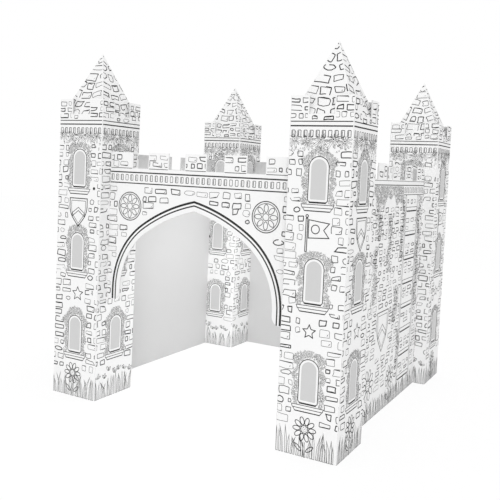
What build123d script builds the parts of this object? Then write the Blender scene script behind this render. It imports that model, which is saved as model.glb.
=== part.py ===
from build123d import *
import math
import os

# A play castle of corrugated card, in millimetres. Four square towers stand at the corners,
# each a folded sleeve with a folded pyramid roof tucked into its top. Four flat walls hook
# into slots in the towers: three reach the floor, and the front one carries an arched gateway.
# The origin is on the floor under the middle of the castle. X is to the right, Y to the back.

# Card
card = 4.0                  # thickness of the board
fold_radius = 3.0           # outside radius of a tower's vertical folds
fit = 0.3                   # clearance between pieces that slide together

# Towers
tower_side = 200.0          # outside width of a square tower
sleeve_height = 1005.0      # floor to the bottom of a tower's crenels
merlon_height = 54.0        # corner merlons above that
merlon_leg = 60.0           # width of a corner merlon on each face
glue_flap = 35.0            # flap that closes the sleeve, glued inside its outer corner
glue_flap_foot = 15.0       # floor to the lower end of that flap

# Roofs
roof_rise = 227.0           # crenel bottom to the roof's point
skirt_depth = 45.0          # flaps that tuck down inside the sleeve
skirt_relief = 6.0          # setback of a flap's upper ends from the corner
skirt_taper = 10.0          # further setback at a flap's lower ends
skirt_gap = 5.0             # skirt's lower edge to the top of the sleeve's glue flap
hip_flap = 30.0             # flap that closes the roof, glued inside one hip, seen from above
hip_flap_foot = 15.0        # roof's corner to the flap's lower end, seen from above
hip_flap_tip = 25.0         # roof's point to the flap's upper end, seen from above
hip_flap_taper = 8.0        # setback of the flap's free corners

# Walls
wall_inset = 50.0           # outside face of a tower to the middle of a wall
wall_height = 825.0         # floor to the bottom of a wall's crenels
wall_merlon_height = 55.0   # wall merlons above that
crenel_count = 4
crenel_width = 67.5
crenel_pitch = 151.5

# Gateway in the front wall
arch_half_span = 304.0      # middle of the wall to the cut edge at the spring line
arch_spring = 403.0         # height of the spring line
arch_haunch_radius = 248.0  # lower arcs
arch_haunch_turn = 56.0     # angle of the lower arcs, in degrees
arch_crown_radius = 591.0   # upper arcs, which meet in a point
leg_width = 56.0            # cut edge at the spring line to the tower's face
leg_bottom = 362.0          # lower end of the wall beside the gateway
leg_round = 28.0            # rounding of that end

# Hook tabs at the walls' ends
tab_height = 60.0           # height of a tab where it passes the tower's face
tab_reach = 30.0            # length behind that face
hook_drop = 14.0            # depth of the hook behind the face
hook_round = 8.0            # rounding of the tab's free corners
upper_tab = 735.0           # height of each tab's lower edge
middle_tab = 440.0
lower_tab = 140.0

# Values that follow
bay = 2 * (arch_half_span + leg_width)
tower_inner = tower_side - 2 * card
tower_centre = bay / 2 + tower_side / 2
tower_top = sleeve_height + merlon_height
tower_crenel = tower_side - 2 * merlon_leg
wall_plane = bay / 2 + tower_side - wall_inset
wall_half = bay / 2 - fit
wall_top = wall_height + wall_merlon_height
hook_face = bay / 2 + card + fit
tab_end = bay / 2 + card + tab_reach
roof_half = tower_inner / 2 - fit
roof_step = card * math.hypot(roof_half, roof_rise) / roof_half
gate_levels = (middle_tab, upper_tab)
full_levels = (lower_tab, middle_tab, upper_tab)

# Corners and sides, in turns of 90 degrees from the front left corner and the front side
corners = ("front_left", "front_right", "back_right", "back_left")
sides = ("front", "right", "back", "left")


def turned(shape, quarter):
    """The shape turned about the castle's middle by a number of quarters."""
    return Rot(0, 0, 90 * quarter) * shape


def upright(profile):
    """A flat profile, drawn with its height along Y, stood in the front wall's place."""
    sheet = extrude(profile, card / 2, both=True)
    return Pos(0, -wall_plane, 0) * Rot(90, 0, 0) * sheet


def span(left, right, bottom, top):
    """A rectangle given by its four sides."""
    return Pos((left + right) / 2, (bottom + top) / 2) * Rectangle(right - left, top - bottom)


def tab(level):
    """The hook tab at a wall's right-hand end: a neck through the slot and a hook behind it."""
    neck = span(wall_half, tab_end, level, level + tab_height)
    hook = span(hook_face, tab_end, level - hook_drop, level + tab_height)
    free_end = neck + hook
    outer_corners = free_end.vertices().group_by(Axis.X)[-1]
    return fillet(outer_corners, hook_round)


def slot(level):
    """The cut in a tower's face that lets that tab pass and drop into its seat."""
    height = tab_height + hook_drop + fit
    cut = Box(card + 2 * fit, card + 2 * fit, height)
    return Pos(bay / 2 + card / 2, -wall_plane, level + height / 2) * cut


def wall_profile(bottom, levels):
    """A wall's outline: the panel, its crenels and the tabs at both ends."""
    profile = span(-wall_half, wall_half, bottom, wall_top)
    for index in range(crenel_count):
        middle = (index - (crenel_count - 1) / 2) * crenel_pitch
        profile -= span(middle - crenel_width / 2, middle + crenel_width / 2, wall_height, wall_top)
    for level in levels:
        right_tab = tab(level)
        profile += right_tab
        profile += mirror(right_tab, about=Plane.YZ)
    return profile


def gateway():
    """The opening under the arch: straight legs, two haunch arcs and two crown arcs."""
    turn = math.radians(arch_haunch_turn)
    haunch_x = arch_half_span - arch_haunch_radius
    rise = arch_crown_radius - arch_haunch_radius
    crown_x = haunch_x - rise * math.cos(turn)
    crown_y = arch_spring - rise * math.sin(turn)
    crown_end = math.degrees(math.acos(-crown_x / arch_crown_radius))
    leg = Line((arch_half_span, leg_bottom), (arch_half_span, arch_spring))
    haunch = CenterArc((haunch_x, arch_spring), arch_haunch_radius, 0, arch_haunch_turn)
    crown = CenterArc((crown_x, crown_y), arch_crown_radius, arch_haunch_turn, crown_end - arch_haunch_turn)
    middle = Line(crown @ 1, (0, leg_bottom))
    foot = Line((0, leg_bottom), (arch_half_span, leg_bottom))
    half = make_face(Curve() + [leg, haunch, crown, middle, foot])
    return half + mirror(half, about=Plane.YZ)


def gate_wall():
    """The front wall: it hangs between two towers and ends above the floor beside the gateway."""
    profile = wall_profile(leg_bottom, gate_levels) - gateway()
    lower_ends = profile.vertices().group_by(Axis.Y)[0]
    inner_ends = [end for end in lower_ends if abs(end.X) < arch_half_span + fit]
    return upright(fillet(inner_ends, leg_round))


def full_wall():
    """A wall that reaches the floor."""
    return upright(wall_profile(0, full_levels))


def sleeve():
    """A tower's folded sleeve about its own axis, with its outer corner towards -X and -Y."""
    outside = RectangleRounded(tower_side, tower_side, fold_radius)
    tube = extrude(outside - Rectangle(tower_inner, tower_inner), tower_top)
    for quarter in range(2):
        crenel = Pos(0, 0, sleeve_height + merlon_height / 2) * Box(tower_crenel, tower_side, merlon_height)
        tube -= Rot(0, 0, 90 * quarter) * crenel
    flap_top = sleeve_height - skirt_depth - skirt_gap
    flap = Box(card, glue_flap, flap_top - glue_flap_foot, align=(Align.MIN, Align.MIN, Align.MIN))
    return tube + Pos(-tower_inner / 2, -tower_inner / 2, glue_flap_foot) * flap


def tower(quarter):
    """A tower in its corner, with the slots for the two walls that meet there."""
    piece = Pos(-tower_centre, -tower_centre, 0) * sleeve()
    levels = {0: gate_levels}
    for level in levels.get(quarter, full_levels):
        piece -= mirror(slot(level), about=Plane.YZ)
    previous = (quarter - 1) % len(corners)
    for level in levels.get(previous, full_levels):
        piece -= turned(slot(level), -1)
    return turned(piece, quarter)


def pyramid(base_z):
    """A solid of the roof's outside shape, with its base at the given height."""
    side = 2 * roof_half
    blank = Wedge(side, roof_rise, side, side / 2, side / 2, side / 2, side / 2)
    return Pos(0, 0, base_z + roof_rise / 2) * Rot(90, 0, 0) * blank


def hip_joint():
    """The glue flap along one hip: a strip of a second layer of card under one sloping panel."""
    layer = pyramid(sleeve_height - roof_step) - pyramid(sleeve_height - 2 * roof_step)
    low = roof_half - hip_flap_foot
    high = hip_flap_tip
    low_free = low - hip_flap_taper
    high_free = high + hip_flap_taper
    outline = Polyline((low, -low), (low_free, hip_flap - low_free), (high_free, hip_flap - high_free),
                       (high, -high), close=True)
    return layer & Pos(0, 0, sleeve_height) * extrude(make_face(outline), roof_rise)


def roof():
    """A tower's folded roof about its own axis: four sloping panels, their glue flap and four skirt flaps."""
    panels = pyramid(sleeve_height) - pyramid(sleeve_height - roof_step) + hip_joint()
    upper = roof_half - skirt_relief
    lower = upper - skirt_taper
    outline = Polyline((-upper, 0), (upper, 0), (lower, -skirt_depth), (-lower, -skirt_depth), close=True)
    flap = Pos(0, -roof_half, sleeve_height) * Rot(90, 0, 0) * extrude(make_face(outline), -card)
    for quarter in range(4):
        panels += Rot(0, 0, 90 * quarter) * flap
    return panels


def write(piece, node):
    """One STEP file for each piece."""
    export_step(piece, f"parts/{node}.step")


os.makedirs("parts", exist_ok=True)
for quarter, corner in enumerate(corners):
    write(tower(quarter), f"tower_{corner}")
    write(turned(Pos(-tower_centre, -tower_centre, 0) * roof(), quarter), f"roof_{corner}")
for quarter, side in enumerate(sides):
    write(turned(gate_wall() if side == "front" else full_wall(), quarter), f"wall_{side}")
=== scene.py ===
# %% [markdown]
# # A cardboard castle to colour in
# Twelve pieces of white-lined corrugated board: four folded towers, four folded roofs and four walls. The
# solids come from the frame and stay as they are. This lesson gives them their card finish and the black
# line print that a child would colour in, and photographs them on a white floor.

import math
import random

import bmesh
import bpy
from mathutils import Matrix, Vector


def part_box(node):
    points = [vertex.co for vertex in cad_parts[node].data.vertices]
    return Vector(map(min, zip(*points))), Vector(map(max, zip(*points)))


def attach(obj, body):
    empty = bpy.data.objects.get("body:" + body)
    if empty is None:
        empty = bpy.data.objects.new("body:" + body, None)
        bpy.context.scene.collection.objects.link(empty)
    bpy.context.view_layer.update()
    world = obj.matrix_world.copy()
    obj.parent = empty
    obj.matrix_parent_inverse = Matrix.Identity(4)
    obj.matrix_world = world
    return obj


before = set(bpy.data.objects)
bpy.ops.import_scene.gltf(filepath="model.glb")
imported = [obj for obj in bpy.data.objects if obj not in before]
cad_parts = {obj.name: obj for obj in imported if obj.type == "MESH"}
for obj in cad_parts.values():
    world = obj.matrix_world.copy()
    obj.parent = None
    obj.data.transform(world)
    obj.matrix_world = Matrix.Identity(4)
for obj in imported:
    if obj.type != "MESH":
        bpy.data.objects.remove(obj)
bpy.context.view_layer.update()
MM = 0.001
corners = ("front_left", "front_right", "back_right", "back_left")
sides = ("front", "right", "back", "left")
print("pieces of card:", sorted(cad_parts))

# %% [markdown]
# ## Where the card is
# The print has to lie on the card, so its places are read from the frame and turned to millimetres, which
# is how the artwork of a box is drawn. One tower, one roof and one wall tell all we need, because the
# others are quarter turns of them.

# %% Sizes read from the frame
tower_low, tower_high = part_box("tower_front_right")
roof_low, roof_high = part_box("roof_front_right")
wall_low, wall_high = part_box("wall_front")
tower_side = (tower_high.x - tower_low.x) / MM
tower_half = tower_side / 2
tower_centre = (tower_high.x + tower_low.x) / 2 / MM
roof_half = (roof_high.x - roof_low.x) / 2 / MM
roof_top = roof_high.z / MM
card = (wall_high.y - wall_low.y) / MM
wall_plane = -(wall_high.y + wall_low.y) / 2 / MM
wall_half = tower_centre - tower_half
wall_top = wall_high.z / MM
crenel_floor = 1005.0
wall_crenel_floor = 825.0
print(f"towers {tower_side:.0f} mm wide, walls {2 * wall_half:.0f} mm, card {card:.1f} mm")

# %% [markdown]
# ## Camera
# The photograph looks at the castle from the right of its gateway, from a little over half its height, and
# is tilted a little. The lens and the place were worked out from the corners of the towers.

# %% Camera
camera_place = (1.2554, -2.3307, 0.8315)
camera_yaw, camera_down, camera_roll = 28.593, 3.363, 2.592
camera_lens, camera_sensor, camera_shift = 48.537, 36.0, (-0.030, -0.076)
camera = bpy.data.objects.new("camera", bpy.data.cameras.new("camera"))
camera.data.lens = camera_lens
camera.data.sensor_width = camera_sensor
camera.data.shift_x, camera.data.shift_y = camera_shift
turns = (
    Matrix.Rotation(math.radians(camera_yaw), 4, "Z")
    @ Matrix.Rotation(math.radians(90 - camera_down), 4, "X")
    @ Matrix.Rotation(math.radians(camera_roll), 4, "Z")
)
camera.matrix_world = Matrix.Translation(camera_place) @ turns
bpy.context.scene.collection.objects.link(camera)
bpy.context.scene.camera = camera
bpy.context.scene.view_settings.view_transform = "Standard"
print("camera", camera_place)

# %% [markdown]
# ## Shader maths
# A material's nodes work out numbers for each point of a surface. Wrapping a socket in a small class lets
# us write those numbers as Python expressions: each operator adds the Math node that it stands for.

# %% Shader helpers
class Wire:
    """A socket that gives a value. Operators on it add Math nodes."""

    def __init__(self, finish, socket):
        self.finish = finish
        self.socket = socket

    def maths(self, operation, *values):
        """A Math node of that operation on the given values."""
        return self.finish.add("ShaderNodeMath", {"operation": operation}, dict(enumerate(values)))

    def __add__(self, other):
        return self.maths("ADD", self, other)

    def __radd__(self, other):
        return self.maths("ADD", other, self)

    def __sub__(self, other):
        return self.maths("SUBTRACT", self, other)

    def __rsub__(self, other):
        return self.maths("SUBTRACT", other, self)

    def __mul__(self, other):
        return self.maths("MULTIPLY", self, other)

    def __rmul__(self, other):
        return self.maths("MULTIPLY", other, self)

    def __gt__(self, other):
        return self.maths("GREATER_THAN", self, other)

    def __lt__(self, other):
        return self.maths("LESS_THAN", self, other)

    def __abs__(self):
        return self.maths("ABSOLUTE", self)

    def most(self, other):
        """The larger of two values."""
        return self.maths("MAXIMUM", self, other)

    def wave(self):
        """The sine of the value, in radians."""
        return self.maths("SINE", self)


class Finish:
    """A material and the nodes in it."""

    def __init__(self, name):
        self.material = bpy.data.materials.new(name)
        self.material.use_nodes = True
        self.tree = self.material.node_tree
        self.shader = self.tree.nodes["Principled BSDF"]

    def add(self, kind, settings, sockets, output=0):
        """Any node: its settings are set first, then the values or links of its sockets."""
        node = self.tree.nodes.new(kind)
        for name, value in settings.items():
            setattr(node, name, value)
        self.feed(node, sockets)
        return Wire(self, node.outputs[output])

    def feed(self, node, sockets):
        """Gives a node's sockets their values, or links them to wires."""
        for name, value in sockets.items():
            if isinstance(value, Wire):
                self.tree.links.new(value.socket, node.inputs[name])
            else:
                node.inputs[name].default_value = value

    def place(self):
        """The point's x, y and z in the castle's own frame."""
        point = self.add("ShaderNodeTexCoord", {}, {}, "Object")
        split = self.add("ShaderNodeSeparateXYZ", {}, {"Vector": point}).socket.node
        return [Wire(self, split.outputs[axis]) for axis in "XYZ"]

    def noise(self, scale, detail):
        """Uneven values about 0.5, the finer the larger the scale."""
        point = self.add("ShaderNodeTexCoord", {}, {}, "Object")
        return self.add("ShaderNodeTexNoise", {}, {"Vector": point, "Scale": scale, "Detail": detail})

    def mix(self, factor, first, second):
        """A colour between two colours."""
        return self.add(
            "ShaderNodeMix", {"data_type": "RGBA"}, {0: factor, 6: first, 7: second}, 2
        )


def grey(level):
    """A neutral colour of that level."""
    return (level, level, level, 1.0)


print("shader helpers ready")

# %% [markdown]
# ## Floor and light
# A product photograph on white. The camera sees the floor mostly as plain white, the same as behind it, so
# that its far edge doesn't show. The rest is lit paint, which keeps the castle's shadow. Soft light comes
# from all round. A large lamp far in front makes the front faces a little brighter than the sides, a weak
# one hangs overhead, and a small one in the court lights the insides of the walls.

# %% Floor
floor_half_width, floor_drop = 12.0, 0.2 * MM
floor_grey, floor_roughness = 0.96, 0.9
white_strength, white_share = 1.03, 0.85
floor_finish = Finish("floor_white")
floor_finish.feed(floor_finish.shader, {"Base Color": grey(floor_grey), "Roughness": floor_roughness})
floor_finish.feed(floor_finish.shader, {"Specular IOR Level": 0.0})
floor_paint = Wire(floor_finish, floor_finish.shader.outputs["BSDF"])
floor_white = floor_finish.add("ShaderNodeEmission", {}, {"Color": grey(1.0), "Strength": white_strength})
seen = floor_finish.add("ShaderNodeLightPath", {}, {}, "Is Camera Ray")
floor_seen = floor_finish.add(
    "ShaderNodeMixShader", {}, {0: seen * white_share, 1: floor_paint, 2: floor_white}
)
floor_finish.feed(floor_finish.tree.nodes["Material Output"], {"Surface": floor_seen})
floor_mesh = bpy.data.meshes.new("floor")
floor_shape = bmesh.new()
bmesh.ops.create_grid(floor_shape, x_segments=1, y_segments=1, size=floor_half_width)
floor_shape.to_mesh(floor_mesh)
floor_shape.free()
floor_mesh.transform(Matrix.Translation((0, 0, -floor_drop)))
floor_mesh.materials.append(floor_finish.material)
floor = bpy.data.objects.new("floor", floor_mesh)
bpy.context.scene.collection.objects.link(floor)
print("floor", 2 * floor_half_width, "m wide")

# %% Light
room_strength, behind_strength = 0.825, 1.0
world = bpy.data.worlds.new("studio")
world.use_nodes = True
bpy.context.scene.world = world
sky = world.node_tree.nodes["Background"]
sky.inputs["Color"].default_value = grey(1.0)
rays = world.node_tree.nodes.new("ShaderNodeLightPath")
level = world.node_tree.nodes.new("ShaderNodeMapRange")
level.inputs["To Min"].default_value = room_strength
level.inputs["To Max"].default_value = behind_strength
world.node_tree.links.new(rays.outputs["Is Camera Ray"], level.inputs["Value"])
world.node_tree.links.new(level.outputs["Result"], sky.inputs["Strength"])


def lamp(name, place, target, width, power):
    """A square lamp that looks at a point. Its width is in metres and its power in watts."""
    light = bpy.data.lights.new(name, "AREA")
    light.size = width
    light.energy = power
    holder = bpy.data.objects.new(name, light)
    aim = (Vector(target) - Vector(place)).to_track_quat("-Z", "Y")
    holder.matrix_world = Matrix.Translation(place) @ aim.to_matrix().to_4x4()
    holder.visible_camera = False
    bpy.context.scene.collection.objects.link(holder)


lamp("front_softbox", place=(9.9, -17.1, 2.9), target=(0, 0, 0.5), width=5.0, power=820)
lamp("top_softbox", place=(0, 0, 4.5), target=(0, 0, 0), width=3.2, power=15)
lamp("court_softbox", place=(0, 0.06, 0.87), target=(0, 0.06, 0), width=0.5, power=3.0)

# %% [markdown]
# ## Card
# The board has a white printed liner outside, a greyer unprinted liner inside, and a fluted core that
# shows only where the board is cut. There the flute paper is light, and the hollow channels between the
# flutes are a darker grey, which is painted shade. One depth value, measured through the board from its
# inside face, tells the three apart, so the finish follows the pieces without a painted texture. The flutes
# leave a faint washboard in the liner.

# %% Card finishes
flute_pitch, flute_relief = 7.0, 0.25
liner = 0.6
# In the core the darker grey is painted shade in the hollow flute channels, and the lighter grey is the
# flute paper.
channel_shade_and_flute_greys, white_greys, inside_greys = (0.66, 0.84), (0.895, 0.925), (0.625, 0.665)
mottle_scale, cloud_scale = 900.0, 14.0
mottle_share, cloud_share = 0.6, 0.4
least_roughness, roughness_spread = 0.66, 0.16
bump_strength, bump_distance = 0.06, 0.2 * MM
card_gloss = 0.25


def card_finish(name, depth_of):
    """White board. depth_of gives the distance in mm through the board from its inside face."""
    finish = Finish(name)
    x, y, z = finish.place()
    depth = depth_of(x, y, z)
    along = (x + y) * (math.tau / (flute_pitch * MM))
    middle = depth - card / 2
    flute = abs(middle - along.wave() * (card / 2 - 2 * liner)) < liner
    # Painted shade: the cut core is darker between the flutes, where the channels are hollow.
    flute_and_channel_shade = finish.mix(flute, *map(grey, channel_shade_and_flute_greys))
    mottle = finish.noise(mottle_scale, 4.0)
    cloud = finish.noise(cloud_scale, 2.0)
    uneven = mottle * mottle_share + cloud * cloud_share
    white = finish.mix(uneven, *map(grey, white_greys))
    inside = finish.mix(uneven, *map(grey, inside_greys))
    backed = finish.mix(depth > liner, inside, flute_and_channel_shade)
    colour = finish.mix(depth > card - liner, backed, white)
    rough = mottle * roughness_spread + least_roughness
    relief = along.wave() * flute_relief + mottle
    bump = finish.add(
        "ShaderNodeBump", {}, {"Strength": bump_strength, "Distance": bump_distance, "Height": relief}
    )
    finish.feed(finish.shader, {"Base Color": colour, "Roughness": rough, "Normal": bump})
    finish.feed(finish.shader, {"Specular IOR Level": card_gloss})
    return finish.material


def tower_depth(x, y, z):
    """Through a tower's wall: towards the outside the larger of the two plan distances grows."""
    reach = abs(abs(x) - tower_centre * MM).most(abs(abs(y) - tower_centre * MM))
    return (reach - (tower_half - card) * MM) * (1 / MM)


def wall_depth(x, y, z):
    """Through a flat wall, which stands across X or across Y."""
    return (abs(x).most(abs(y)) - (wall_plane - card / 2) * MM) * (1 / MM)


def roof_depth(x, y, z):
    """Through a sloping roof panel, measured square to it."""
    rise = roof_top - crenel_floor
    slope = math.hypot(rise, roof_half)
    reach = abs(abs(x) - tower_centre * MM).most(abs(abs(y) - tower_centre * MM))
    outwards = reach * (rise / slope) + (z - crenel_floor * MM) * (roof_half / slope)
    return (outwards - roof_half * rise / slope * MM) * (1 / MM) + card


finishes = {
    "tower": card_finish("tower_card", tower_depth),
    "roof": card_finish("roof_card", roof_depth),
    "wall": card_finish("wall_card", wall_depth),
}
for name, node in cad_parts.items():
    node.data.materials.clear()
    node.data.materials.append(finishes[name.split("_")[0]])
print("card finishes", list(finishes))

# %% [markdown]
# ## Ink
# The print is matt ink that has soaked into the liner. One flat black would look like plastic from close
# by, so a fine noise moves each ink between two greys, as if some paper came through.

# %% Ink finishes
ink_grain, ink_gloss = 700.0, 0.2


def ink_finish(name, low, high):
    """Matt ink between two greys."""
    finish = Finish(name)
    grain = finish.noise(ink_grain, 3.0)
    finish.feed(finish.shader, {"Base Color": finish.mix(grain, grey(low), grey(high))})
    finish.feed(finish.shader, {"Roughness": grain * 0.2 + 0.6, "Specular IOR Level": ink_gloss})
    return finish.material


black_ink = ink_finish("black_ink", low=0.012, high=0.05)
grey_ink = ink_finish("grey_ink", low=0.60, high=0.65)
print("inks", black_ink.name, grey_ink.name)

# %% [markdown]
# ## Drawing tools
# On the real castle the lines are printed on the flat sheet before it is folded. They could be a texture,
# but flat shapes stay sharp at any distance and a few rules can draw them. So the artwork is drawn flat,
# in millimetres, as a die line would be. Shapes start as filled faces. Their corners are rounded with a
# vertex bevel, and an inset whose middle is deleted leaves the outline. A finished group goes on a sheet,
# and a sheet is laid on a face of the card.

# %% Drawing tools
ink_lift = 0.25


class Shapes:
    """Flat shapes that are drawn together."""

    def __init__(self):
        self.bm = bmesh.new()

    def box(self, u, v, width, height, turn=0.0):
        """A filled rectangle about a point."""
        place = (
            Matrix.Translation((u, v, 0))
            @ Matrix.Rotation(turn, 4, "Z")
            @ Matrix.Diagonal((width, height, 1, 1))
        )
        made = bmesh.ops.create_grid(self.bm, x_segments=1, y_segments=1, size=0.5, matrix=place)
        return made["verts"]

    def disc(self, u, v, radius, points, turn=0.0, stretch=1.0):
        """A filled regular polygon, or an oval one."""
        place = (
            Matrix.Translation((u, v, 0))
            @ Matrix.Rotation(turn, 4, "Z")
            @ Matrix.Diagonal((radius, radius * stretch, 1, 1))
        )
        made = bmesh.ops.create_circle(self.bm, cap_ends=True, segments=points, radius=1.0, matrix=place)
        return made["verts"]

    def polygon(self, points):
        """A filled shape through a few points."""
        made = [self.bm.verts.new((u, v, 0)) for u, v in points]
        self.bm.faces.new(made).normal_update()
        return made

    def star(self, u, v, radius, points, waist, turn=0.0):
        """A filled star, whose inner points are nearer by the given share."""
        made = self.disc(u, v, radius, 2 * points, turn)
        for vert in made[1::2]:
            vert.co = Vector((u, v, 0)).lerp(vert.co, waist)
        return made

    def round(self, radius, verts=None, steps=2):
        """Rounds the corners of all the shapes, or only the given ones."""
        corners_to_round = verts or self.bm.verts[:]
        bmesh.ops.bevel(
            self.bm, geom=corners_to_round, offset=radius, offset_type="OFFSET", segments=steps,
            profile=0.5, affect="VERTICES", material=-1, clamp_overlap=True,
        )

    def outline(self, width):
        """Leaves a line of that width along the inside of each shape's edge."""
        shapes = self.bm.faces[:]
        bmesh.ops.inset_individual(self.bm, faces=shapes, thickness=width, use_even_offset=True)
        bmesh.ops.delete(self.bm, geom=shapes, context="FACES")

    def cut(self, point, normal):
        """Cuts away what lies on the side that the normal points to."""
        geom = self.bm.verts[:] + self.bm.edges[:] + self.bm.faces[:]
        bmesh.ops.bisect_plane(
            self.bm, geom=geom, plane_co=(*point, 0), plane_no=(*normal, 0), clear_outer=True
        )

    def trim(self, edges):
        """Cuts away what lies beyond a face's edges, each given as a point and the way out."""
        for point, normal in edges:
            self.cut(point, normal)

    def press(self, sheet):
        """Puts the shapes on a sheet of artwork, all facing up from it."""
        self.bm.normal_update()
        bmesh.ops.reverse_faces(self.bm, faces=[face for face in self.bm.faces if face.normal.z < 0])
        scratch = bpy.data.meshes.new("scratch")
        self.bm.to_mesh(scratch)
        self.bm.free()
        sheet.from_mesh(scratch)
        bpy.data.meshes.remove(scratch)


def uprights(left, right):
    """The two upright edges of a face, to trim by."""
    return ((left, 0), (-1, 0)), ((right, 0), (1, 0))


def laid(sheet, target, matrix):
    """Lays a sheet of artwork, which is used up, on a face of the card."""
    bmesh.ops.transform(sheet, matrix=matrix @ Matrix.Scale(MM, 4), verts=sheet.verts[:])
    scratch = bpy.data.meshes.new("scratch")
    sheet.to_mesh(scratch)
    sheet.free()
    target.from_mesh(scratch)
    bpy.data.meshes.remove(scratch)


def printed(name, artwork, ink):
    """A piece made of artwork that lies in place, printed in one ink."""
    mesh = bpy.data.meshes.new(name)
    artwork.to_mesh(mesh)
    artwork.free()
    mesh.materials.append(ink)
    piece = bpy.data.objects.new(name, mesh)
    bpy.context.scene.collection.objects.link(piece)
    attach(piece, "root")
    mesh.calc_loop_triangles()
    print(name, len(mesh.loop_triangles), "triangles")


upright = Matrix.Rotation(math.radians(90), 4, "X")


def quarter(count):
    """A number of quarter turns about the castle's upright axis."""
    return Matrix.Rotation(math.radians(90 * count), 4, "Z")


def tower_face(corner, face):
    """Where a tower's face is: both are counted in quarter turns, from the front left and from the front."""
    centre = quarter(corner) @ Vector((-tower_centre * MM, -tower_centre * MM, 0))
    outwards = Matrix.Translation((0, -(tower_half + ink_lift) * MM, 0))
    return Matrix.Translation(centre) @ quarter(face) @ outwards @ upright


def wall_face(side):
    """Where the outside of a wall is."""
    return quarter(side) @ Matrix.Translation((0, -(wall_plane + card / 2 + ink_lift) * MM, 0)) @ upright


def roof_face(corner, face):
    """Where a sloping roof panel is, with its height measured up the slope."""
    centre = quarter(corner) @ Vector((-tower_centre * MM, -tower_centre * MM, 0))
    lean = math.atan2(roof_half, roof_top - crenel_floor)
    foot = Matrix.Translation((0, -roof_half * MM, crenel_floor * MM))
    tilted = Matrix.Rotation(math.radians(90) - lean, 4, "X")
    lifted = Matrix.Translation((0, 0, ink_lift * MM))
    return Matrix.Translation(centre) @ quarter(face) @ foot @ tilted @ lifted


print("drawing tools ready")

# %% [markdown]
# ## Stones
# Loose courses of hand-drawn stones: rounded oblongs of all lengths, pebbles and broken ones, some with a
# chip, some with part of their outline left open. A hand draws no straight line, so their long sides bend.
# A pen presses harder on one side, so most stones have a bold stroke along their top or foot. A tile of
# stones would show that it repeats, so seeded dice place each of them. Keep-out rectangles leave room for
# what else is drawn on the face, and the stones of a course fill what is left between them.

# %% Places for stones
stone_lengths = (14, 20, 27, 33, 37, 41)
shortest_span, shortest_stone = 9, 12
half_course = 8
drawn_share = 0.95


def free_spans(left, right, bottom, top, keep_out):
    """The stretches of a course that no keep-out rectangle covers."""
    spans = [(left, right)]
    for near, far, low, high in keep_out:
        if top < low or bottom > high:
            continue
        pieces = []
        for start, end in spans:
            pieces += [(start, min(end, near)), (max(start, far), end)]
        spans = [(start, end) for start, end in pieces if end - start > shortest_span]
    return spans


def stones(
    dice, left, right, bottom, top, course, keep_out,
    size=1.0, gaps=(6, 20), heights=(12, 22), overhang=18,
):
    """Places for stones in loose courses. A place is a middle's two coordinates, a length and a height."""
    places = []
    v = bottom + course / 2
    while v < top - course / 3:
        first, last = left - dice.uniform(0, overhang), right + overhang
        for start, end in free_spans(first, last, v - half_course, v + half_course, keep_out):
            row = []
            u = start
            while end - u > shortest_stone:
                length = min(dice.choice(stone_lengths) * size * dice.uniform(0.85, 1.15), end - u)
                row.append((u + length / 2, length))
                u += length + dice.uniform(*gaps)
            if not row:
                continue
            middle, length = row[-1]
            shift = dice.uniform(0, max(0, end - middle - length / 2))
            lift = dice.uniform(-0.11, 0.11) * course
            for middle, length in row:
                height = min(dice.uniform(*heights) * size, length * 1.3, course - 4)
                level = v + lift + dice.uniform(-0.06, 0.06) * course
                if dice.random() < drawn_share:
                    places.append((middle + shift, level, length, height))
        v += course
    return places


print("stones", stone_lengths[0], "to", stone_lengths[-1], "mm long")

# %% Drawing stones
line_weights = (1.2, 2.0, 3.0)
stroke_weight, stroke_share = 3.4, 0.62
pebble_share, loaf_share, broken_share = 0.06, 0.10, 0.18
stone_round, loaf_round = 2.6, 5.0
long_stone, long_side = 24, 16
chip_lengths, chip_weight, chip_share = (4, 7), 1.5, 0.4
open_length, open_share = 9, 0.08


def stone(groups, dice, u, v, length, height, turn, rough):
    """One filled stone: an oblong, a broken one, a loaf with a round top or a pebble. Gives its corners."""
    oblongs, loaves, pebbles = groups
    kind = dice.random()
    if kind < pebble_share:
        made = pebbles.disc(u, v, length / 2, 10, turn, height / length)
    elif kind < pebble_share + loaf_share and length > long_stone:
        made = loaves.box(u, v, length, height, turn)
    else:
        made = oblongs.box(u, v, length, height, turn)
        if kind > 1 - broken_share:
            broken = dice.choice(made)
            broken.co = Vector((u, v, 0)).lerp(broken.co, dice.uniform(0.55, 0.8))
    for vert in made:
        vert.co += Vector((dice.gauss(0, rough), dice.gauss(0, rough), 0))
    return [vert.co.copy() for vert in made]


def bend(shapes, dice, drift):
    """Moves the middles of the stones' long sides."""
    sides_to_bend = [edge for edge in shapes.bm.edges if edge.calc_length() > long_side]
    made = bmesh.ops.bisect_edges(shapes.bm, edges=sides_to_bend, cuts=1)
    for part in made["geom_split"]:
        if isinstance(part, bmesh.types.BMVert):
            part.co += Vector((dice.gauss(0, drift), dice.gauss(0, drift), 0))


def stroke(shapes, start, end, middle):
    """A bold stroke along the inside of a stone's edge, thinner towards one end."""
    along = (end - start).normalized()
    reach = middle - start
    inwards = (reach - along * reach.dot(along)).normalized()
    near, far = start + 2 * along, end - 2 * along
    points = (near, far, far + inwards * stroke_weight, near + inwards * stroke_weight / 2)
    shapes.polygon([point.xy for point in points])


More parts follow.
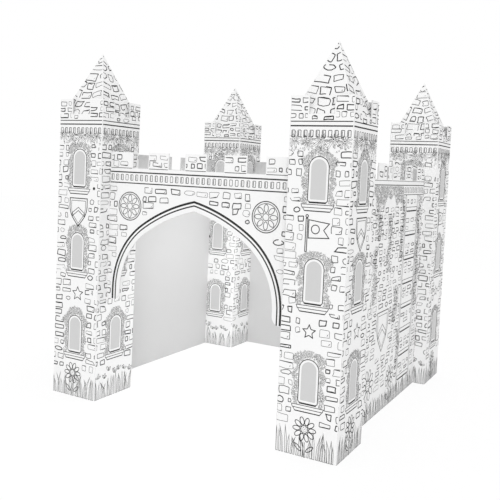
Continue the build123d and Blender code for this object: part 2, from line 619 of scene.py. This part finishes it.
def draw_stones(sheet, dice, places, edges=(), turn_of=None, bold_top=0.4, rough=0.8, weights=line_weights):
    """Draws stones, each with one of the line weights, cut where the face ends."""
    weighed = {weight: [] for weight in weights}
    for place in places:
        weighed[dice.choice(weights)].append(place)
    chips, strokes = Shapes(), Shapes()
    for weight, group in weighed.items():
        groups = oblongs, loaves, pebbles = Shapes(), Shapes(), Shapes()
        for u, v, length, height in group:
            turn = dice.gauss(0, 0.035) + (turn_of(u, v) if turn_of else 0.0)
            ends = stone(groups, dice, u, v, length, height, turn, rough)
            if len(ends) == 4 and dice.random() < stroke_share:
                side = ends[2:] if dice.random() < bold_top else ends[:2]
                stroke(strokes, *side, Vector((u, v, 0)))
            if length > long_stone and dice.random() < chip_share:
                chip = Vector((length * 0.3, -height * 0.14, 0))
                chip.rotate(Matrix.Rotation(turn, 3, "Z"))
                chip_length, chip_turn = dice.uniform(*chip_lengths), turn + dice.uniform(0.5, 1.1)
                chips.box(u + chip.x, v + chip.y, chip_length, chip_weight, chip_turn)
        bend(oblongs, dice, 1.2 * rough)
        oblongs.round(stone_round)
        tops = [
            vert for face in loaves.bm.faces for vert in face.verts
            if vert.co.y > face.calc_center_median().y
        ]
        if tops:
            loaves.round(loaf_round, tops, 4)
        for shapes in groups:
            shapes.outline(weight)
            open_sides = [
                face for face in shapes.bm.faces
                if face.calc_area() > open_length * weight and dice.random() < open_share
            ]
            bmesh.ops.delete(shapes.bm, geom=open_sides, context="FACES")
            shapes.trim(edges)
            shapes.press(sheet)
    for shapes in (chips, strokes):
        shapes.trim(edges)
        shapes.press(sheet)


print("line weights", line_weights, "mm")

# %% [markdown]
# ## Leaves and grass
# Ivy grows round each window, a garland of leafy fans hangs under the battlements, and grass stands along
# the floor, in places with tufts of oval leaves over it. The ivy could be a grey field, but the real one
# is drawn leaf by leaf. Small outlines on a jittered grid lie side by side and read as a soft grey from
# afar. A fan is slender leaves all round a berry.

# %% Leaves and grass
leaf_pitch, leaf_drift, leaf_line = 4.4, 1.0, 0.58
small_leaf, large_leaf, large_share = (2.3, 3.4), (4.0, 5.6), 0.05
leaf_lobes, lobe_waist = 3, 0.62
ivy_overhang = 4.0
blade_line, blade_lean = 1.1, 12
blade_heights, blade_halves, blade_gaps = (0.55, 1.0), (2.4, 3.9), (6.0, 11.5)
tuft_line, tuft_tilts = 1.4, (-0.75, 0.0, 0.75)
tuft_margin, tuft_halves, tuft_gaps = 14, (7, 11), (20, 32)
frond_line, frond_leaves, frond_halves = 0.82, 11, (9, 16)
frond_start, berry_radii = 4, (1.6, 2.8)


def ivy(sheet, dice, left, right, bottom, top, grows):
    """Three-lobed leaves over a rectangle, as thick at each point as grows(u, v), from 0 to 1."""
    shapes = Shapes()
    stagger = 0.0
    v = bottom
    while v < top:
        u = left + stagger
        while u < right:
            at_u = u + dice.uniform(-leaf_drift, leaf_drift)
            at_v = v + dice.uniform(-leaf_drift, leaf_drift)
            if dice.random() < grows(at_u, at_v):
                reach = dice.uniform(*(large_leaf if dice.random() < large_share else small_leaf))
                shapes.star(at_u, at_v, reach, leaf_lobes, lobe_waist, dice.uniform(0, math.tau))
            u += leaf_pitch
        v += leaf_pitch
        stagger = leaf_pitch / 2 - stagger
    shapes.outline(leaf_line)
    shapes.trim(uprights(left - ivy_overhang, right + ivy_overhang))
    shapes.press(sheet)


def grass(sheet, dice, left, right, foot, tallest):
    """Pointed blades that lean and bend, drawn as outlines."""
    shapes = Shapes()
    u = left + 3
    while u < right - 3:
        height = dice.uniform(*blade_heights) * tallest
        lean = dice.gauss(0, blade_lean)
        half = dice.uniform(*blade_halves)
        tip = min(max(u + lean, left + 1), right - 1)
        belly = u + lean * 0.3
        shapes.polygon((
            (u - half, foot), (u + half, foot), (belly + half, foot + height * 0.55),
            (tip, foot + height), (belly - half, foot + height * 0.55),
        ))
        u += dice.uniform(*blade_gaps)
    shapes.trim(uprights(left, right))
    shapes.outline(blade_line)
    shapes.press(sheet)


def tufts(sheet, dice, left, right, low, high):
    """Tufts of oval leaves that stand over the grass."""
    shapes = Shapes()
    u = left + tuft_margin
    while u < right - tuft_margin:
        v = dice.uniform(low, high)
        for tilt in tuft_tilts:
            angle = math.pi / 2 + tilt + dice.gauss(0, 0.2)
            half = dice.uniform(*tuft_halves)
            shapes.disc(u + half * math.cos(angle), v + half * math.sin(angle), half, 10, angle, 0.42)
        u += dice.uniform(*tuft_gaps)
    shapes.outline(tuft_line)
    shapes.trim(uprights(left, right))
    shapes.press(sheet)


def fronds(sheet, dice, u, v, edges):
    """A fan of slender leaves all round a berry, the upper ones shorter, cut where the face ends."""
    leaves, berry = Shapes(), Shapes()
    for index in range(frond_leaves):
        angle = math.tau * (index + dice.uniform(0.2, 0.8)) / frond_leaves
        half = dice.uniform(*frond_halves) * (0.6 if math.sin(angle) > 0.3 else 1.0)
        reach = half + frond_start
        leaves.disc(u + reach * math.cos(angle), v + reach * math.sin(angle), half, 10, angle, 0.21)
    leaves.outline(frond_line)
    berry.disc(u, v, dice.uniform(*berry_radii), 10)
    for shapes in (leaves, berry):
        shapes.trim(edges)
        shapes.press(sheet)


print("leaf pitch", leaf_pitch, "mm")

# %% [markdown]
# ## Windows
# A window is one printed grey pane with a white border, a black outline and a stepped sill, with a bold
# line under the frame and another under the sill. It is print and not a hole, so it takes light and shade
# with the card round it. The round head is a rectangle whose two upper corners are bevelled by half its
# width.

# %% Windows
window_bottoms = (160.0, 456.0, 751.0)
window_width, window_height = 66.0, 134.0
frame_weight, frame_round = 2.5, 9.0
pane_border, pane_round = 9.0, 3.0
sill_weight = 1.9
sill_slabs = (
    {"drop": 5.0, "width": 106.0, "height": 11.0, "taper": 4.0},
    {"drop": 14.1, "width": 97.0, "height": 12.0, "taper": 8.0},
)
bold_lines = ({"drop": 0.4, "width": 54.0, "weight": 3.4}, {"drop": 24.6, "width": 81.0, "weight": 3.0})


def arched(shapes, u, bottom, width, height, foot_round):
    """A filled shape with a round head. Its two bevels stop just short of each other."""
    made = shapes.box(u, bottom + height / 2, width, height)
    heads = [vert for vert in made if vert.co.y > bottom + height / 2]
    shapes.round(width / 2 - 0.01, heads, 10)
    feet = [vert for vert in shapes.bm.verts if vert.co.y < bottom + 1]
    shapes.round(foot_round, feet, 3)


def sill_slab(shapes, u, top, width, height, taper):
    """A filled slab that is narrower below."""
    half = width / 2
    shapes.polygon((
        (u - half, top), (u + half, top), (u + half - taper, top - height), (u - half + taper, top - height),
    ))


def window(sheet, panes, u, bottom):
    """A window on a sheet of line art, and its pane on another."""
    frame_line = Shapes()
    arched(frame_line, u, bottom, window_width, window_height, frame_round)
    frame_line.outline(frame_weight)
    frame_line.press(sheet)
    pane = Shapes()
    pane_width, pane_height = window_width - 2 * pane_border, window_height - 2 * pane_border
    arched(pane, u, bottom + pane_border, pane_width, pane_height, pane_round)
    pane.press(panes)
    sill = Shapes()
    for slab in sill_slabs:
        sill_slab(sill, u, bottom - slab["drop"], slab["width"], slab["height"], slab["taper"])
    sill.outline(sill_weight)
    sill.press(sheet)
    bold = Shapes()
    for line in bold_lines:
        bold.box(u, bottom - line["drop"], line["width"], line["weight"])
    bold.press(sheet)


def beyond_window(u, v, bottom):
    """How far a point lies outside a window's outline."""
    half = window_width / 2
    spring = bottom + window_height - half
    if v > spring:
        return math.hypot(u, v - spring) - half
    return abs(u) - half


print("windows", len(window_bottoms), "to a face")

# %% [markdown]
# ## Motifs
# Simple figures give the child something larger to colour: shields, stars, pennants, daisies and rosettes.
# Each is sized by one or two lengths, and its parts are shares of them, so one function draws it at any
# size.

# %% Motifs
dot_radius = 5.4
shield_rims, chevron_weight = ((1.0, 3.2), (0.8, 1.7)), 2.2
star_weight, star_waist = 2.7, 0.48
pennant_weight, pole_width, pole_round, knob_radius = 2.7, 8.0, 2.0, 5.5
daisy_weight, daisy_petals, stem_weight, stem_half = 2.3, 10, 1.5, 2.6
ring_weight, petal_weight, rosette_petals = 3.0, 2.0, 8


def dot(sheet, u, v):
    """A filled dot."""
    shapes = Shapes()
    shapes.disc(u, v, dot_radius, 16)
    shapes.press(sheet)


def shield(sheet, u, v, width):
    """A shield with a border and a chevron."""
    for share, weight in shield_rims:
        half = width / 2 * share
        shapes = Shapes()
        rim = shapes.polygon((
            (u - half, v + half * 1.1), (u + half, v + half * 1.1), (u + half, v - half * 0.2),
            (u, v - half * 1.35), (u - half, v - half * 0.2),
        ))
        shapes.round(half * 0.55, [rim[2], rim[4]], 5)
        shapes.outline(weight)
        shapes.press(sheet)
    reach, drop, band = width * 0.36, width * 0.26, width * 0.17
    chevron = Shapes()
    chevron.polygon((
        (u - reach, v - drop + band), (u, v + band), (u + reach, v - drop + band),
        (u + reach, v - drop), (u, v), (u - reach, v - drop),
    ))
    chevron.outline(chevron_weight)
    chevron.press(sheet)


def star(sheet, u, v, radius):
    """A five-pointed star."""
    shapes = Shapes()
    shapes.star(u, v, radius, 5, star_waist)
    shapes.round(radius * 0.06)
    shapes.outline(star_weight)
    shapes.press(sheet)


def pennant(sheet, u, v, height):
    """A swallow-tailed flag with a ring on it, on a pole."""
    shapes = Shapes()
    shapes.box(u - height * 0.3, v, pole_width, height)
    shapes.round(pole_round)
    shapes.polygon((
        (u - height * 0.25, v + height * 0.46), (u + height * 0.44, v + height * 0.38),
        (u + height * 0.26, v + height * 0.17), (u + height * 0.44, v - height * 0.06),
        (u - height * 0.25, v - height * 0.10),
    ))
    shapes.disc(u - height * 0.02, v + height * 0.18, height * 0.14, 20)
    shapes.disc(u - height * 0.3, v + height * 0.55, knob_radius, 10)
    shapes.outline(pennant_weight)
    shapes.press(sheet)


def daisy(sheet, u, foot, height, radius):
    """A flower on a stem with two leaves."""
    stem = Shapes()
    for side in (-1, 1):
        stem.box(u + side * stem_half, foot + (height - radius) / 2, stem_weight, height - radius)
    stem.press(sheet)
    shapes = Shapes()
    for index in range(daisy_petals):
        angle = math.tau * index / daisy_petals
        at_u = u + radius * 0.67 * math.cos(angle)
        at_v = foot + height + radius * 0.67 * math.sin(angle)
        shapes.disc(at_u, at_v, radius * 0.34, 14, angle, 0.6)
    shapes.disc(u, foot + height, radius * 0.33, 18)
    for side in (-1, 1):
        at_u, at_v = u + side * radius * 0.5, foot + (height - radius) * 0.6
        shapes.disc(at_u, at_v, radius * 0.42, 12, side * 0.7, 0.4)
    shapes.outline(daisy_weight)
    shapes.press(sheet)
    seeds = Shapes()
    for index in range(7):
        angle = math.tau * index / 6
        reach = radius * 0.17 if index < 6 else 0.0
        seeds.disc(u + reach * math.cos(angle), foot + height + reach * math.sin(angle), radius * 0.035, 8)
    seeds.press(sheet)


def rosette(sheet, u, v, radius):
    """A round ornament with petals between two rings."""
    ring = Shapes()
    ring.disc(u, v, radius, 40)
    ring.outline(ring_weight)
    ring.press(sheet)
    shapes = Shapes()
    shapes.disc(u, v, radius * 0.86, 36)
    shapes.disc(u, v, radius * 0.24, 18)
    for index in range(rosette_petals):
        angle = math.tau * index / rosette_petals
        at_u = u + radius * 0.54 * math.cos(angle)
        at_v = v + radius * 0.54 * math.sin(angle)
        shapes.disc(at_u, at_v, radius * 0.27, 14, angle, 0.62)
    shapes.outline(petal_weight)
    shapes.press(sheet)


def draw_motifs(sheet, motifs):
    """Draws motifs. Each is a figure, its place and size, and the room that it keeps free of stones."""
    for figure, place, _ in motifs:
        figure(sheet, *place)
    return [room for _, _, room in motifs]


print("motifs ready")

# %% [markdown]
# ## Towers
# Every face of a tower has a double line under the battlements, a row of dentils, a garland, three windows
# in ivy, stones all over and grass at the foot. The strip over the double line and the merlons have stones
# of their own. The two faces that look out of the castle also have motifs, and the two that look into it
# have tufts and a dot. One function draws them all. Its dice are seeded for each face, so no two faces are
# alike and every run puts the same stones in the same places.

# %% Dentils, garland and ivy
dentil_count, dentil_pitch = 10, 19.4
dentil_width, dentil_height, dentil_round = 12.0, 21.0, 2.4
dentil_level, dentil_weight, shade_share = 949.0, 1.8, 0.8
garland_low, garland_high, garland_margin, garland_share = 870.0, 944.0, 5.0, 0.14
garland_foot, garland_drop, swag_depth, swag_length = 908.0, 14.0, 15.0, 21.0
fan_count, fan_pitch, fan_level = 5, 40.0, 930.0
ivy_half, ivy_under, ivy_over = 66.0, 2.0, 32.0
ivy_gap, ivy_reach, ivy_crown, crown_height = 1.5, 18.0, 8.0, 20.0


def dentil_row(sheet, dice, middle, count, pitch, level, weight):
    """A row of upright dentils, most with a line of shade inside their left edge."""
    row, shade = Shapes(), Shapes()
    for index in range(count):
        u = middle + (index - (count - 1) / 2) * pitch
        row.box(u, level, dentil_width, dentil_height)
        if dice.random() < shade_share:
            shade.box(u - dentil_width * 0.18, level, weight, dentil_height - 6)
    row.round(dentil_round)
    row.outline(weight)
    row.press(sheet)
    shade.press(sheet)


def garland(sheet, dice, edge, phase, swag):
    """A few leaves that hang in swags under the dentils, and a row of fans over their feet."""

    def hangs(u, v):
        swags = swag_depth * swag * math.sin(u / swag_length + phase)
        return garland_share * (v > garland_foot - swags - garland_drop * abs(u) / tower_half)

    reach = edge - garland_margin
    ivy(sheet, dice, -reach, reach, garland_low, garland_high, hangs)
    for index in range(fan_count):
        u = (index - (fan_count - 1) / 2) * fan_pitch + dice.uniform(-7, 7)
        fronds(sheet, dice, u, fan_level + dice.uniform(-5, 5), uprights(-edge, edge))


def window_ivy(sheet, dice, bottom, phase):
    """Ivy round a window, wider over its head."""
    head = bottom + window_height

    def climbs(u, v):
        crown = ivy_crown if v > head - crown_height else 0
        thick = 0.93 + 0.07 * math.sin(v / 5 + phase) * math.sin(u / 5)
        reach = ivy_reach + crown + 5 * math.sin(v / 9 + phase)
        return thick * (ivy_gap < beyond_window(u, v, bottom) < reach)

    ivy(sheet, dice, -ivy_half, ivy_half, bottom - ivy_under, head + ivy_over, climbs)


print("dentils", dentil_count, "and fans", fan_count, "to a face")

# %% Tower faces
fold_margin = 2.5
double_line = ((984.0, 2.8), (971.0, 4.0))
garland_room = (915.0, 990.0)
window_room_half, window_room_under, window_room_over = 52.0, 30.0, 24.0
tuft_low, tuft_high, tuft_room = 68.0, 96.0, 116.0
inner_dots, inner_dot_level = {1: -47.0, 2: -66.0}, 515.0
grass_foot, tower_grass, tower_grass_room = 1.5, 88.0, 94.0
tower_stones_top, tower_course, tower_stone_size = 900.0, 27.0, 1.05
strip_half, strip_low, strip_high = 20.0, 986.0, 1004.0
strip_course, strip_stone_size, strip_gaps = 18.0, 0.9, (10, 24)
merlon_leg, merlon_margin = 60.0, 4.0
merlon_foot, merlon_low, merlon_high = 989.0, 992.0, 1056.0
merlon_course, merlon_gaps, merlon_overhang = 21.0, (5, 12), 6.0
tower_daisy = (daisy, (-6, 0, 84, 38), (-50, 40, 0, 128))
outside_motifs = {
    0: (
        (shield, (0, 666, 84), (-48, 48, 606, 720)),
        (star, (8, 372, 28), (-26, 42, 342, 404)),
        (dot, (70, 748), (58, 82, 736, 760)),
        tower_daisy,
    ),
    3: (
        (pennant, (0, 656, 100), (-40, 48, 602, 720)),
        (star, (-6, 374, 24), (-36, 24, 348, 402)),
        tower_daisy,
    ),
}


def tower_art(dice, turn):
    """A tower face's line art and its panes. Turns 0 and 3 look out of the castle, 1 and 2 into it."""
    sheet = bmesh.new()
    panes = bmesh.new()
    edge = tower_half - fold_margin

    lines = Shapes()
    for level, weight in double_line:
        lines.box(0, level, 2 * edge, weight)
    lines.press(sheet)
    dentil_row(sheet, dice, 0, dentil_count, dentil_pitch, dentil_level, dentil_weight)

    swag = dice.uniform(0.8, 1.2)
    phase = dice.uniform(0, math.tau)
    garland(sheet, dice, edge, phase, swag)
    keep_out = [(-edge, edge, *garland_room)]
    for bottom in window_bottoms:
        window(sheet, panes, 0, bottom)
        window_ivy(sheet, dice, bottom, phase)
        room_high = bottom + window_height + window_room_over
        keep_out.append((-window_room_half, window_room_half, bottom - window_room_under, room_high))

    if turn in outside_motifs:
        keep_out += draw_motifs(sheet, outside_motifs[turn])
    else:
        tufts(sheet, dice, -edge, edge, tuft_low, tuft_high)
        dot(sheet, inner_dots[turn], inner_dot_level)
        keep_out.append((-edge, edge, 0, tuft_room))
    grass(sheet, dice, -edge, edge, grass_foot, tower_grass)
    keep_out.append((-edge, edge, 0, tower_grass_room))
    places = stones(
        dice, -edge, edge, tower_grass_room, tower_stones_top, tower_course, keep_out, tower_stone_size,
    )
    draw_stones(sheet, dice, places, uprights(-edge, edge))
    places = stones(
        dice, -strip_half, strip_half, strip_low, strip_high, strip_course, (), strip_stone_size, strip_gaps,
    )
    draw_stones(sheet, dice, places)
    for side in (-1, 1):
        inner = (tower_half - merlon_leg + merlon_margin) * side
        near, far = sorted((inner, edge * side))
        places = stones(
            dice, near, far, merlon_low, merlon_high, merlon_course, (),
            gaps=merlon_gaps, overhang=merlon_overhang,
        )
        ends = ((0, merlon_foot), (0, -1)), ((0, merlon_high), (0, 1))
        draw_stones(sheet, dice, places, uprights(near, far) + ends)
    return sheet, panes


for corner, corner_name in enumerate(corners):
    art, pane_art = bmesh.new(), bmesh.new()
    for face in range(4):
        turn = (face - corner) % 4
        sheet, panes = tower_art(random.Random(100 * corner + face), turn)
        laid(sheet, art, tower_face(corner, face))
        laid(panes, pane_art, tower_face(corner, face))
    printed(f"tower_lines_{corner_name}", art, black_ink)
    printed(f"tower_panes_{corner_name}", pane_art, grey_ink)

# %% [markdown]
# ## Roofs
# The roof is of stones too. Straight courses would meet the hips at odd angles, so its stones lie in rings
# about its point, and those beside the hips lean with them. They are larger than the stones of the walls
# and drawn with bolder lines.

# %% Roof faces
slant = math.hypot(roof_half, roof_top - crenel_floor)
hip_angle = math.atan2(roof_half, slant)
hip_margin, eave_margin = 3.0, 2.0
first_ring, ring_pitch = 22.0, 37.0
roof_stone_size, roof_stone_heights, roof_gaps = 1.25, (19, 30), (5, 12)
roof_weights, roof_bold_top, roof_rough = (1.9, 2.5, 3.2), 0.85, 1.8
roof_seed = 7000
hip = Vector((slant, roof_half)).normalized()
roof_edges = (
    ((-roof_half + hip_margin, 0), (-hip.x, hip.y)), ((roof_half - hip_margin, 0), (hip.x, hip.y)),
    ((0, eave_margin), (0, -1)),
)


def roof_stones(dice):
    """Places for stones in rings about the roof's point."""
    places = []
    ring = first_ring
    while ring < slant:
        angle = -hip_angle - dice.uniform(0, 12) / ring
        while angle < hip_angle:
            length = dice.choice(stone_lengths[1:]) * roof_stone_size * dice.uniform(0.85, 1.1)
            height = dice.uniform(*roof_stone_heights)
            middle = angle + length / 2 / ring
            level = ring + dice.uniform(-3, 3)
            places.append((level * math.sin(middle), slant - level * math.cos(middle), length, height))
            angle += (length + dice.uniform(*roof_gaps)) / ring
        ring += ring_pitch
    return places


def roof_turn(u, v):
    """How far a stone on the roof is turned."""
    return math.atan2(u, slant - v)


for corner, corner_name in enumerate(corners):
    art = bmesh.new()
    for face in range(4):
        dice = random.Random(roof_seed + 100 * corner + face)
        sheet = bmesh.new()
        places = roof_stones(dice)
        draw_stones(sheet, dice, places, roof_edges, roof_turn, roof_bold_top, roof_rough, roof_weights)
        laid(sheet, art, roof_face(corner, face))
    printed(f"roof_lines_{corner_name}", art, black_ink)

# %% [markdown]
# ## Front wall
# A band of dentils runs under the battlements, and a thick and a thin line follow the gateway. Each line
# is made of the same arcs as the opening, so it keeps its distance all round: a short edge is spun about
# the arcs' own centres. There is a rosette on each side of the gateway's point, and small stones fill the
# narrow parts where a course has no room.

# %% Lines round the gateway
arch_half, arch_spring = 304.0, 403.0
haunch_radius, haunch_turn = 248.0, math.radians(56)
crown_radius = 591.0
arch_lines, arch_room = ((29.2, 7.2), (17.2, 4.5)), 36.0
leg_bottom, leg_line_gap = 362.0, 2.0
haunch_centre = Vector((arch_half - haunch_radius, arch_spring, 0))
haunch_end = Vector((math.cos(haunch_turn), math.sin(haunch_turn), 0))
crown_centre = haunch_centre - (crown_radius - haunch_radius) * haunch_end


def arch_line(sheet, offset, width):
    """A line along the gateway, at a distance outside its cut edge. One half is made, cut and mirrored."""
    shapes = Shapes()
    inner, outer = offset - width / 2, offset + width / 2
    low = [shapes.bm.verts.new((arch_half + d, leg_bottom + leg_line_gap, 0)) for d in (inner, outer)]
    spring = [shapes.bm.verts.new((arch_half + d, arch_spring, 0)) for d in (inner, outer)]
    shapes.bm.faces.new((low[0], low[1], spring[1], spring[0]))
    edge = shapes.bm.edges.get(spring)
    made = bmesh.ops.spin(
        shapes.bm, geom=[*spring, edge], cent=haunch_centre, axis=(0, 0, 1), angle=haunch_turn, steps=16,
    )
    crown_end = math.acos(-crown_centre.x / (crown_radius + offset))
    bmesh.ops.spin(
        shapes.bm, geom=made["geom_last"], cent=crown_centre, axis=(0, 0, 1),
        angle=crown_end - haunch_turn + 0.02, steps=16,
    )
    shapes.cut((0, 0), (-1, 0))
    whole = shapes.bm.verts[:] + shapes.bm.edges[:] + shapes.bm.faces[:]
    bmesh.ops.mirror(shapes.bm, geom=whole, axis="X", merge_dist=0.01)
    shapes.press(sheet)


def inside_arch(u, v, offset):
    """True if a point is inside the gateway's line at that offset."""
    u = abs(u)
    if v < arch_spring:
        return u < arch_half + offset
    from_haunch = Vector((u, v, 0)) - haunch_centre
    if math.atan2(from_haunch.y, from_haunch.x) < haunch_turn:
        return from_haunch.length < haunch_radius + offset
    return (Vector((u, v, 0)) - crown_centre).length < crown_radius + offset


def beside_arch(place):
    """True if a stone lies clear of the gateway's lines."""
    u, v, length, height = place
    ends = [(u + s * length / 2, v + t * height / 2) for s in (-1, 1) for t in (-1, 1)]
    return not any(inside_arch(*end, arch_room) for end in ends)


print(f"gateway {2 * arch_half:.0f} mm wide")

# %% Front wall
wall_edge = wall_half - 2.0
band_lines = ((811.0, 4.2), (774.0, 3.6))
wall_dentils, wall_dentil_pitch = 34, 21.1
wall_dentil_level, wall_dentil_weight = 793.0, 1.7
crenel_count, crenel_width, crenel_pitch = 4, 67.5, 151.5
wall_merlon_margin, wall_merlon_course, wall_merlon_line = 4.0, 23.0, 2.0
rosette_u, rosette_v, rosette_radius, rosette_room = 268.0, 694.0, 50.0, 56.0
front_top, front_course, front_stone_size, front_gaps = 768.0, 26.0, 1.15, (6, 16)
leg_margin, front_seed = 12.0, 41
filler_tries, filler_lengths, filler_heights = 500, (18, 38), (12, 18)
filler_overlap, filler_top, filler_gap = 30.0, 632.0, 5.0


def apart(place, other, gap):
    """True if two stones have a gap between them."""
    across = abs(place[0] - other[0]) - (place[2] + other[2]) / 2
    up = abs(place[1] - other[1]) - (place[3] + other[3]) / 2
    return max(across, up) > gap


def merlon_spans():
    """Left and right ends of the wall's merlons."""
    crenels = [(index - (crenel_count - 1) / 2) * crenel_pitch for index in range(crenel_count)]
    ends = [-wall_edge]
    for middle in crenels:
        ends += [middle - crenel_width / 2, middle + crenel_width / 2]
    ends.append(wall_edge)
    return list(zip(ends[::2], ends[1::2]))


def merlon_stones(sheet, dice):
    """Stones on the merlons of a wall."""
    low, high = wall_crenel_floor + wall_merlon_margin, wall_top - wall_merlon_margin
    for left, right in merlon_spans():
        near, far = left + wall_merlon_margin, right - wall_merlon_margin
        places = stones(dice, near, far, low, high, wall_merlon_course, ())
        draw_stones(sheet, dice, places, uprights(near, far))


def front_art(dice):
    """The line art of the wall with the gateway."""
    sheet = bmesh.new()
    lines = Shapes()
    for level, weight in band_lines:
        lines.box(0, level, 2 * wall_edge, weight)
    for left, right in merlon_spans():
        length = right - left - wall_merlon_margin
        lines.box((left + right) / 2, wall_crenel_floor, length, wall_merlon_line)
    lines.press(sheet)
    dentil_row(sheet, dice, 0, wall_dentils, wall_dentil_pitch, wall_dentil_level, wall_dentil_weight)
    for offset, width in arch_lines:
        arch_line(sheet, offset, width)
    merlon_stones(sheet, dice)
    room_low, room_high = rosette_v - rosette_room, rosette_v + rosette_room
    keep_out = []
    for u in (-rosette_u, rosette_u):
        rosette(sheet, u, rosette_v, rosette_radius)
        keep_out.append((u - rosette_room, u + rosette_room, room_low, room_high))
    leg_low = leg_bottom + leg_margin
    courses = stones(
        dice, -wall_edge, wall_edge, leg_low, front_top, front_course, keep_out,
        front_stone_size, front_gaps,
    )
    places = [place for place in courses if beside_arch(place)]
    for _ in range(filler_tries):
        length, height = dice.uniform(*filler_lengths), dice.uniform(*filler_heights)
        u, v = dice.uniform(arch_half - filler_overlap, wall_edge), dice.uniform(leg_low, filler_top)
        place = (u * dice.choice((-1, 1)), v, length, height)
        if beside_arch(place) and all(apart(place, other, filler_gap) for other in places):
            places.append(place)
    draw_stones(sheet, dice, places, uprights(-wall_edge, wall_edge))
    return sheet


art = bmesh.new()
laid(front_art(random.Random(front_seed)), art, wall_face(0))
printed("wall_lines_front", art, black_ink)

# %% [markdown]
# ## Other walls
# They have stones, grass and a plainer band of dentils. On the right wall ivy takes the place of half the
# band, and vines hang among the stones, beside a ladder, a shield, a star and two daisies. The left wall
# and the back wall are plain.

# %% Ladder and vines
ladder_middle, ladder_width = 205.0, 150.0
ladder_foot, ladder_top, ladder_weight = 28.0, 770.0, 1.9
rung_pitch, rung_height, rung_under, rung_over = 92.0, 15.0, 16.0, 10.0
rung_shade, rung_shade_drop, rung_shade_margin = 3.6, 9.0, 14.0
rail_width, rail_room = 12.0, 806.0
ivy_end, ivy_foot, ivy_share = 95.0, 752.0, 0.8
ivy_low, ivy_high, ivy_margin = 110.0, 802.0, 6.0
vines = (
    (-320, 560, 770, 34), (-165, 620, 790, 40), (-182, 400, 600, 30),
    (-38, 500, 700, 30), (60, 300, 440, 36), (104, 540, 770, 26),
    (308, 330, 770, 36), (-300, 230, 400, 30), (112, 120, 270, 24),
)


def vine_share(u, v, middle, low, high, half):
    """How thickly a hanging vine covers a point: most along its stem, and not at all past its ends."""
    across = abs(u - middle - 9 * math.sin(v / 23 + middle)) / half
    along = abs(2 * v - low - high) / (high - low)
    return 0.85 * max(0.0, 1 - across) * (1 if along < 1 else 0)


def rung_levels():
    """Heights of the ladder's rungs."""
    count = int((ladder_top - ladder_foot) / rung_pitch)
    return [ladder_foot + (index + 0.5) * rung_pitch for index in range(count)]


def ladder(sheet):
    """A ladder that leans flat against the wall. Gives what it covers, to keep the stones out."""
    wood, shade = Shapes(), Shapes()
    covered = []
    near, far = ladder_middle - ladder_width / 2, ladder_middle + ladder_width / 2
    for rail in (near, far):
        wood.box(rail, (ladder_foot + ladder_top) / 2, rail_width, ladder_top - ladder_foot)
        covered.append((rail - rail_width, rail + rail_width, 0, rail_room))
    rung_length = ladder_width - rail_width
    for level in rung_levels():
        wood.box(ladder_middle, level, rung_length, rung_height)
        shade.box(ladder_middle, level - rung_shade_drop, rung_length - rung_shade_margin, rung_shade)
        covered.append((near, far, level - rung_under, level + rung_over))
    wood.outline(ladder_weight)
    wood.press(sheet)
    shade.press(sheet)
    return covered


def side_ivy(sheet, dice):
    """Ivy that hangs under the battlements up to where the band starts, and the vines."""
    phase = dice.uniform(0, math.tau)

    def grows(u, v):
        if u < ivy_end and v > ivy_foot - 16 * math.sin(u / 31 + phase) - 10 * math.sin(u / 11):
            return ivy_share
        return max(vine_share(u, v, *vine) for vine in vines)

    ivy(sheet, dice, -wall_edge + ivy_margin, wall_edge - ivy_margin, ivy_low, ivy_high, grows)


print("ladder with", len(rung_levels()), "rungs,", len(vines), "vines")

# %% Other walls
side_lines = ((822.0, 1.6), (807.0, 3.0))
band_foot, band_weight = 772.0, 2.2
side_dentil_level, side_dentil_weight = 789.0, 1.5
band_room, ivy_room = (762.0, 806.0), (745.0, 806.0)
side_grass, side_grass_room = 74.0, 84.0
side_low, side_top, side_course, side_stone_size = 86.0, 768.0, 24.0, 1.05
planted_stones = {"gaps": (12, 26), "heights": (12, 17)}
side_seed = 500
right_motifs = (
    (shield, (-70, 300, 120), (-138, -2, 210, 374)),
    (daisy, (-190, 0, 128, 56), (-252, -128, 0, 190)),
    (daisy, (42, 0, 104, 46), (-8, 92, 0, 156)),
    (star, (-236, 566, 30), (-272, -204, 530, 602)),
)


def side_art(dice, planted):
    """The line art of a wall that reaches the floor: stones and grass, and on one plants and a ladder."""
    sheet = bmesh.new()
    lines = Shapes()
    for level, weight in side_lines:
        lines.box(0, level, 2 * wall_edge, weight)
    band_start = ivy_end if planted else -wall_edge
    band_middle, band_length = (band_start + wall_edge) / 2, wall_edge - band_start
    lines.box(band_middle, band_foot, band_length, band_weight)
    lines.press(sheet)
    count = int(band_length / wall_dentil_pitch)
    dentil_row(
        sheet, dice, band_middle, count, wall_dentil_pitch, side_dentil_level, side_dentil_weight,
    )
    merlon_stones(sheet, dice)
    if planted:
        side_ivy(sheet, dice)
        keep_out = [(-wall_edge, ivy_end, *ivy_room), *ladder(sheet)]
        keep_out += draw_motifs(sheet, right_motifs)
    else:
        keep_out = [(-wall_edge, wall_edge, *band_room)]
    grass(sheet, dice, -wall_edge, wall_edge, grass_foot, side_grass)
    keep_out.append((-wall_edge, wall_edge, 0, side_grass_room))
    spacing = planted_stones if planted else {}
    places = stones(
        dice, -wall_edge, wall_edge, side_low, side_top, side_course, keep_out, side_stone_size, **spacing,
    )
    draw_stones(sheet, dice, places, uprights(-wall_edge, wall_edge))
    return sheet


for side, side_name in enumerate(sides):
    if side_name == "front":
        continue
    art = bmesh.new()
    laid(side_art(random.Random(side_seed + side), side_name == "right"), art, wall_face(side))
    printed(f"wall_lines_{side_name}", art, black_ink)
